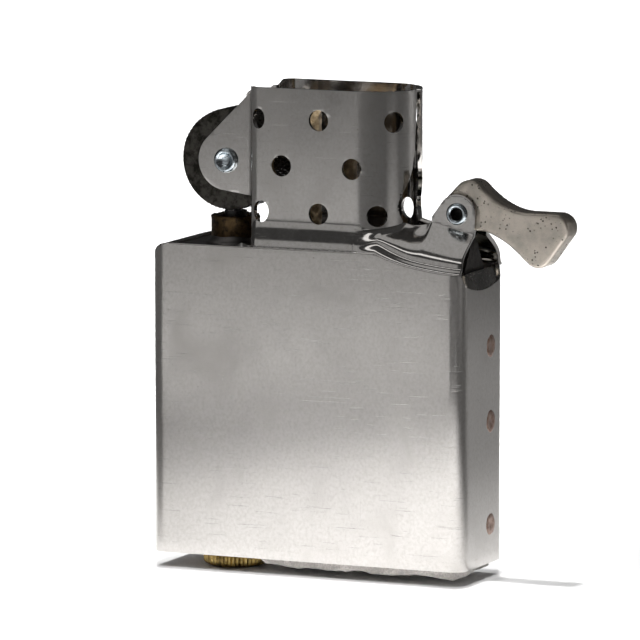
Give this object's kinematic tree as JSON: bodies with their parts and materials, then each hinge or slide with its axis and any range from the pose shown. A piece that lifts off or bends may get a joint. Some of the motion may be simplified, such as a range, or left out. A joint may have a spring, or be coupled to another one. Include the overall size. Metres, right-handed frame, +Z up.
{
  "type": "lighter insert",
  "caption": "Inside unit of a flip-lid petrol pocket lighter: steel tank, pierced wind screen, flint wheel, sprung flint, wick and lid cam.",
  "frame": {"origin": "centre of the tank's bottom rim plane", "axes": "+Z up through the wind screen, +X towards the lid cam, -Y towards the front face"},
  "size_m": [0.046, 0.0116, 0.0519],
  "materials": {
    "casing_steel": "satin, worn and scratched sheet",
    "dark_steel": "sooted, tarnished sheet",
    "wheel_steel": "blackened, toothed",
    "zinc": "bright plated rivet",
    "solder": "dull solder",
    "brass": "tarnished brass",
    "flint_alloy": "dull ferrocerium",
    "spring_steel": "drawn wire",
    "cam_steel": "pitted sintered steel",
    "weld_steel": "heat-stained spot weld",
    "wick_cotton": "braided, slightly singed",
    "copper": "copper strand",
    "packing_fibre": "loose rayon fibre",
    "felt": "grey pressed felt"
  },
  "bodies": {
    "casing": {"tank_shell": "casing_steel", "shoulder_plate": "dark_steel", "wind_screen": "casing_steel", "cam_ears": "casing_steel", "end_lip": "dark_steel", "shoulder_solder": "solder", "wheel_rivet": "zinc", "flint_tube": "brass", "tube_solder": "dark_steel", "cam_rivet": "zinc", "cam_spring_base": "dark_steel", "spring_welds": "weld_steel", "wick": "wick_cotton", "wick_wire": "copper", "packing_1": "packing_fibre", "packing_2": "packing_fibre", "packing_3": "packing_fibre", "packing_4": "packing_fibre", "packing_5": "packing_fibre", "felt_pad": "felt"},
    "wheel": {"flint_wheel": "wheel_steel"},
    "lid_cam": {"cam": "cam_steel"},
    "leaf": {"cam_spring_tongue": "dark_steel"},
    "flint_train": {"flint": "flint_alloy", "spring_tip": "brass"},
    "spring_carriage": {"flint_spring": "spring_steel", "spring_seat": "brass"},
    "screw": {"spring_screw": "brass"},
    "flap": {"felt_flap": "felt"}
  },
  "joints": [
    {"name": "wheel_spin", "type": "hinge", "parent": "casing", "child": "wheel", "pos_m": [-0.0102, 0, 0.042], "axis": [0, 1, 0], "continuous": true},
    {"name": "cam_flip", "type": "hinge", "parent": "casing", "child": "lid_cam", "pos_m": [0.0157, 0, 0.03736], "axis": [0, -1, 0], "range_deg": [-8, 84]},
    {"name": "leaf_flex", "type": "hinge", "parent": "casing", "child": "leaf", "pos_m": [0.01733, 0, 0.0246], "axis": [0, -1, 0], "range_deg": [0, 2], "stiffness_Nm_per_rad": 0.5},
    {"name": "flint_feed", "type": "slide", "parent": "casing", "child": "flint_train", "axis": [0, 0, -1], "range_m": [0, 0.0015], "stiffness_N_per_m": 150, "deforming": ["flint_spring"]},
    {"name": "screw_travel", "type": "slide", "parent": "casing", "child": "spring_carriage", "axis": [0, 0, -1], "range_m": [0, 0.003]},
    {"name": "screw_turn", "type": "hinge", "parent": "spring_carriage", "child": "screw", "pos_m": [-0.0106, 0, 0], "axis": [0, 0, 1], "range_deg": [0, 1800]},
    {"name": "felt_lift", "type": "hinge", "parent": "casing", "child": "flap", "pos_m": [-0.0064, 0, 0], "axis": [0, 1, 0], "range_deg": [0, 60]}
  ],
  "couplings": [
    {"joint": "screw_turn", "follows": "screw_travel", "rad_per_m": 10472}
  ]
}
